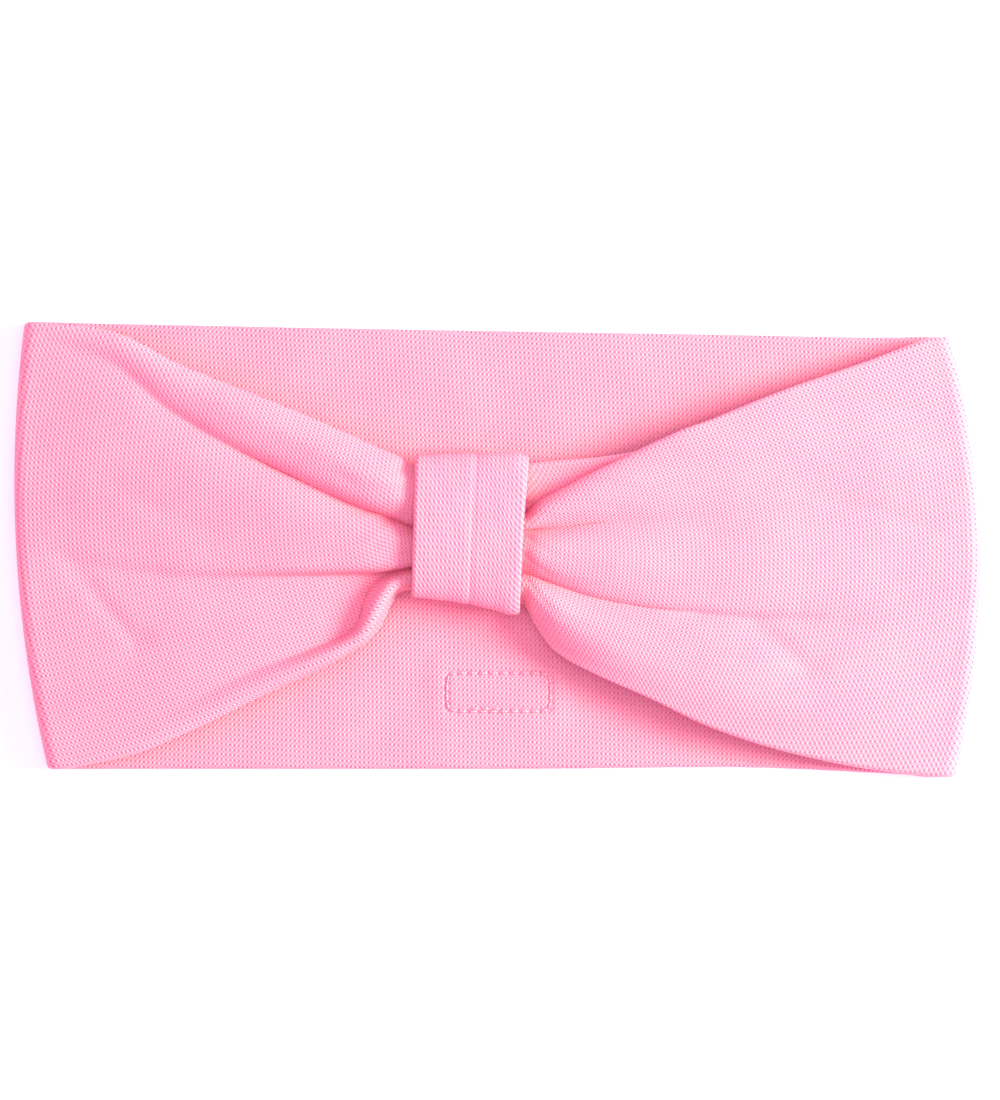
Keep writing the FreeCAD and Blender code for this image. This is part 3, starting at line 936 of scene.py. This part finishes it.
# %% The band's joining seam
SEAM_THICKNESS = 0.45
share = np.linspace(0.04, 0.96, 5)[:, None, None]
bridge = middle_grid[-1:] * share + middle_grid[:1] * (1 - share)
bridge = bridge[::-1]
lips = SEAM_THICKNESS * grid_normals(bridge)
bridge_cloth = np.stack(
    np.broadcast_arrays(share[::-1, :, 0] * SEAM_GAP, across[:1]), axis=-1
)
joining = sheet_between(
    "joining_seam_thread", bridge - lips, bridge + lips, bridge_cloth,
    thread,
)
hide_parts("band_joining_seam")

# %% [markdown]
# The centre loop is a short strip of the same cloth, folded double and pulled round
# the gathers.  Its cross-section is a superellipse, a rounded rectangle written as
# one formula: the power of 2.35 makes it full at the corners.  It is pulled tighter
# on the left, so it widens to the right.

# %% The centre loop
LOOP_POWER = 2.35
LOOP_CLOTH = 0.8
LOOP_ROWS = 150
LOOP_COLUMNS = 56
FINE_TURNS = 1200
EDGE_CROWDING = 0.045
SEAM_TURN = 1.5 * np.pi
LOOP_CROWN = ((0, 0.55, 0.88, 1), (20.7, 21.2, 21.3, 20.3))
LOOP_NECK = ((0, 0.25, 0.5, 0.75, 0.92, 1), (-10.6, -11.2, -12.1, -13.4, -14.5, -14.2))
LEFT_FOOT, LEFT_LEAN = -18.9, 0.9
RIGHT_FOOT, RIGHT_LEAN, RIGHT_HOLLOW = 4.95, 2.1, 0.3
loop_low_z, loop_high_z = loop_low[2] / MM, loop_high[2] / MM


def loop_outline(turn, crown, neck):
    """Superellipse: y and z are the cosine and sine of the turn, each to 2 / power."""
    y_way, z_way = np.cos(turn), np.sin(turn)
    middle_y, half_y = (crown + neck) / 2, (crown - neck) / 2
    middle_z = (loop_low_z + loop_high_z) / 2
    half_z = (loop_high_z - loop_low_z) / 2
    power = 2 / LOOP_POWER
    y = middle_y + (half_y - LOOP_CLOTH) * np.sign(y_way) * np.abs(y_way) ** power
    z = middle_z + (half_z - LOOP_CLOTH) * np.sign(z_way) * np.abs(z_way) ** power
    return y, z + 0 * y


strip = np.linspace(0, 1, LOOP_COLUMNS)
strip = (strip - EDGE_CROWDING * np.sin(4 * np.pi * strip))[None, :]
crown_line = glide(*LOOP_CROWN, strip)
neck_line = glide(*LOOP_NECK, strip)
turns = np.linspace(SEAM_TURN, SEAM_TURN - 2 * np.pi, FINE_TURNS)[:, None]
fine_y, fine_z = loop_outline(turns, crown_line, neck_line)
arc = np.hypot(np.diff(fine_y, axis=0), np.diff(fine_z, axis=0))
arc = np.concatenate([np.zeros((1, LOOP_COLUMNS)), np.cumsum(arc, axis=0)])
loop_length = arc[-1].mean()
keep = np.linspace(SEAM_GAP / 2, loop_length - SEAM_GAP / 2, LOOP_ROWS) / loop_length
picked = np.searchsorted(arc.mean(axis=1) / loop_length, keep)
loop_y, loop_z = fine_y[picked], fine_z[picked]
down = (loop_y - neck_line) / (crown_line - neck_line)
left_edge = LEFT_FOOT + LEFT_LEAN * down
right_edge = RIGHT_FOOT + RIGHT_LEAN * down - RIGHT_HOLLOW * np.sin(np.pi * down)
loop_x = left_edge + (right_edge - left_edge) * strip
loop_middle = np.stack([loop_x, loop_y, loop_z], axis=-1)

# %% [markdown]
# A soft upright press line divides the loop in two, left from folding the strip.
# The knit is pulled long round the loop, and its edges are folded edges, round.  The
# grid's own normals point into the loop, so they are turned round, and so is the
# order of its columns.

# %% The loop's cloth
CREASE_AT = 0.53
CREASE_DEPTH = 0.13
CREASE_WIDTH = 0.03
CREASE_FADE = 0.15
RIPPLE = 0.05
loop_normals = -grid_normals(loop_middle)
step = strip - CREASE_AT
dip = np.exp(-((step / CREASE_WIDTH) ** 2)) + (step > 0) * np.exp(-step / CREASE_FADE)
dip = CREASE_DEPTH * dip
ripple = RIPPLE * np.sin(loop_y / 2.3 + 9 * strip) * np.sin(strip * 21)
loop_middle += loop_normals * (-dip + ripple)[..., None]
strip_mm = strip * (right_edge - left_edge)
from_side = np.minimum(strip_mm, (right_edge - left_edge) - strip_mm)
round_side = np.clip(1 - from_side / LOOP_CLOTH, 0, 1)
loop_thickness = LOOP_CLOTH * np.sqrt(np.maximum(1 - round_side ** 2, 0.01))[..., None]
loop_cloth = np.stack(np.broadcast_arrays(strip_mm, -arc[picked]), axis=-1)
under, over = (loop_middle + side * loop_thickness * loop_normals for side in (-1, 1))
under, over, loop_cloth = (grid[:, ::-1] for grid in (under, over, loop_cloth))
loop = sheet_between("gathering_loop", under, over, loop_cloth, loop_knit)
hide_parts("centre_loop")

# %% [markdown]
# The loop's two ends butt together underneath, and an overcast seam closes them:
# a row of slanting stitches, each a short thread over the joint.

# %% The loop's closing seam
OVERCASTS = 15
OVERCAST_INSET = 1.2
OVERCAST_SLANT, OVERCAST_REACH = 0.35, 0.8
OVERCAST_RISE, OVERCAST_BOW = 0.12, 0.55
OVERCAST_THREAD = 0.22
overcast = np.linspace(
    left_edge.mean() + OVERCAST_INSET, right_edge.mean() - OVERCAST_INSET, OVERCASTS
)
reach = np.linspace(-1, 1, 9)
seam_y = loop_y[[0, -1]].mean()
paths = np.stack(np.broadcast_arrays(
    overcast[:, None] + OVERCAST_SLANT * reach,
    seam_y + OVERCAST_REACH * reach,
    loop_low_z + OVERCAST_RISE + OVERCAST_BOW * reach ** 2,
), axis=-1)
ups = np.zeros_like(paths)
ups[..., 2] = -1
points, quads, cloth = tubes(paths, ups, np.full(paths.shape[:2], OVERCAST_THREAD))
loop_seam = put_in_mesh(
    "loop_seam_stitches", points, quads, cloth, thread
)
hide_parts("loop_closing_seam")

# %% [markdown]
# The label is a blank piece of satin tape.  Satin shows long floats of one yarn, so
# it gleams in fine lines along its length; here they are 0.35 mm apart.  The gleam is
# painted: a paler colour on the floats as a painted highlight, a darker one between
# them.

# %% Label tape material
FLOAT = 0.35 * MM


def tape_material():
    """Woven satin: a sine across the floats, broken by a slower one along them."""
    material, tree = blank_material("polyester_satin_tape")
    cloth = node(tree, "UVMap", {"uv_map": "cloth"})
    place = node(tree, "SeparateXYZ", None, cloth)
    across_floats = node(tree, "Math", MULTIPLY, place.outputs[1], 2 * np.pi / FLOAT)
    floats = node(tree, "Math", SINE, across_floats)
    along_floats = node(tree, "Math", MULTIPLY, place.outputs[0], 2 * np.pi / (4 * FLOAT))
    along_floats = node(tree, "Math", ADD, along_floats, across_floats)
    binding = node(tree, "Math", SINE, along_floats)
    weave = node(tree, "Math", ADD, floats, binding)
    tone = node(tree, "MapRange", None, weave, From_Min=-2.0, From_Max=2.0)
    # Painted highlight: the floats take the paler colour, the binding between them the darker
    # one.
    colour_with_painted_light = node(tree, "MixRGB", None, tone, linear("#E9BDCB"), linear("#FBE3EA"))
    relief = node(tree, "Bump", None, Height=weave, Strength=0.4, Distance=0.05 * MM)
    surface = node(
        tree, "BsdfPrincipled", None,
        Base_Color=colour_with_painted_light, Roughness=0.38, Normal=relief, Specular_IOR_Level=0.5,
    )
    node(tree, "OutputMaterial", None, surface)
    return material


# %% [markdown]
# The label lies face down on the table, a little wavy, and is pulled up towards the
# cloth along its row of stitching.

# %% The back label
LABEL_THICKNESS = 0.34
LABEL_WAVE = 0.03
SEWN_DENT, SEWN_SPREAD = 0.06, 0.5
label_u = np.linspace(-0.5, 0.5, 61)[:, None]
label_v = np.linspace(0.5, -0.5, 27)[None, :]
label_x = LABEL_MIDDLE[0] + LABEL_SIZE[0] * label_u + 0 * label_v
label_y = LABEL_MIDDLE[1] + LABEL_SIZE[1] * label_v + 0 * label_u
wave = LABEL_WAVE * (1 + np.sin(label_x / 2.1 + label_y / 3.4))
off_row = box_distance(label_x, label_y, row_size, ROW_CORNER)
sewn = SEWN_DENT * np.exp(-((off_row / SEWN_SPREAD) ** 2))
tape_foot = np.stack([label_x, label_y, wave * 0.4 + sewn], axis=-1)
tape_top = np.stack([label_x, label_y, np.full_like(wave, LABEL_THICKNESS)], axis=-1)
tape_cloth = np.stack([label_x, label_y], axis=-1)
label = sheet_between(
    "label_tape", tape_top[:, ::-1], tape_foot[:, ::-1], tape_cloth[:, ::-1],
    tape_material(),
)
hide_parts("back_label")

# %% [markdown]
# The label's stitching shows on the inside of the back panel.  Each stitch is a bit
# of thread that rises from one needle hole and dives into the next.

# %% The label's stitching
STITCH_THREAD = 0.24
STITCH_DIVE, STITCH_RISE = 0.50, 0.56
BACKTACK_START = (0.35, 0.55)
BACKTACK_RUN = (-1.9, 0.08)
starts, ends = holes, np.roll(holes, -1, axis=0)
backtack = starts[-9:-6] + BACKTACK_START
starts = np.concatenate([starts, backtack])
ends = np.concatenate([ends, backtack + BACKTACK_RUN])
t = np.linspace(0.06, 0.94, 11)[None, :, None]
flat_path = starts[:, None] * (1 - t) + ends[:, None] * t
bow = np.sin(np.pi * t[..., 0])
surface_z = BACK_MIDDLE + LABEL_LIFT + CLOTH + slack(flat_path[..., 0], flat_path[..., 1])
stitch_z = surface_z - STITCH_DIVE + STITCH_RISE * bow ** 0.6
paths = np.concatenate([flat_path, stitch_z[..., None]], axis=2)
ups = np.zeros_like(paths)
ups[..., 2] = 1
swell = np.broadcast_to(STITCH_THREAD * (0.7 + 0.3 * bow), paths.shape[:2])
points, quads, cloth = tubes(paths, ups, swell)
stitches = put_in_mesh("label_stitches", points, quads, cloth, thread)
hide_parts("label_stitching")
